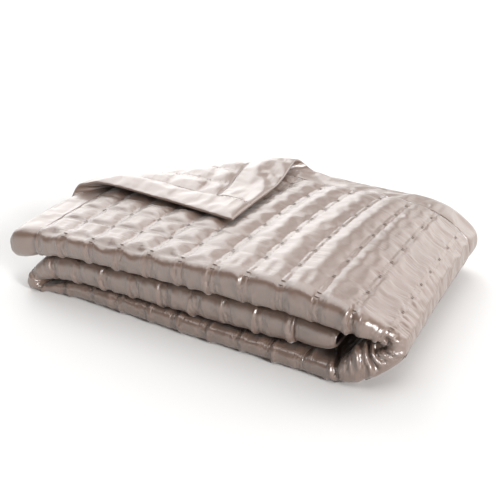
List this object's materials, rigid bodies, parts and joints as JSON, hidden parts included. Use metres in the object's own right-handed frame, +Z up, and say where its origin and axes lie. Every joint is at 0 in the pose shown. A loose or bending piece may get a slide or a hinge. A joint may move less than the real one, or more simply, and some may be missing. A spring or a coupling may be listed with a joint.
{
  "type": "quilted bedspread",
  "caption": "Silk bedspread with channel quilting and plain satin borders, folded into a flat bundle with one corner of its top layer turned back.",
  "frame": {"origin": "centre of the bounding box, on the surface that the folded bedspread lies on", "axes": "+X along the long folded front edge towards the rounded fold of the three bands, +Y from the front fold to the loose bordered edges at the back, +Z up"},
  "size_m": [0.8478, 0.587, 0.1964],
  "materials": {
    "quilted_silk": "lustrous silk satin",
    "plain_satin": "smooth silk satin"
  },
  "bodies": {
    "root": {"quilted_panel": "quilted_silk", "border_turned_end": "plain_satin", "border_inner_end": "plain_satin", "border_turned_side": "plain_satin", "border_inner_side": "plain_satin"}
  },
  "joints": []
}
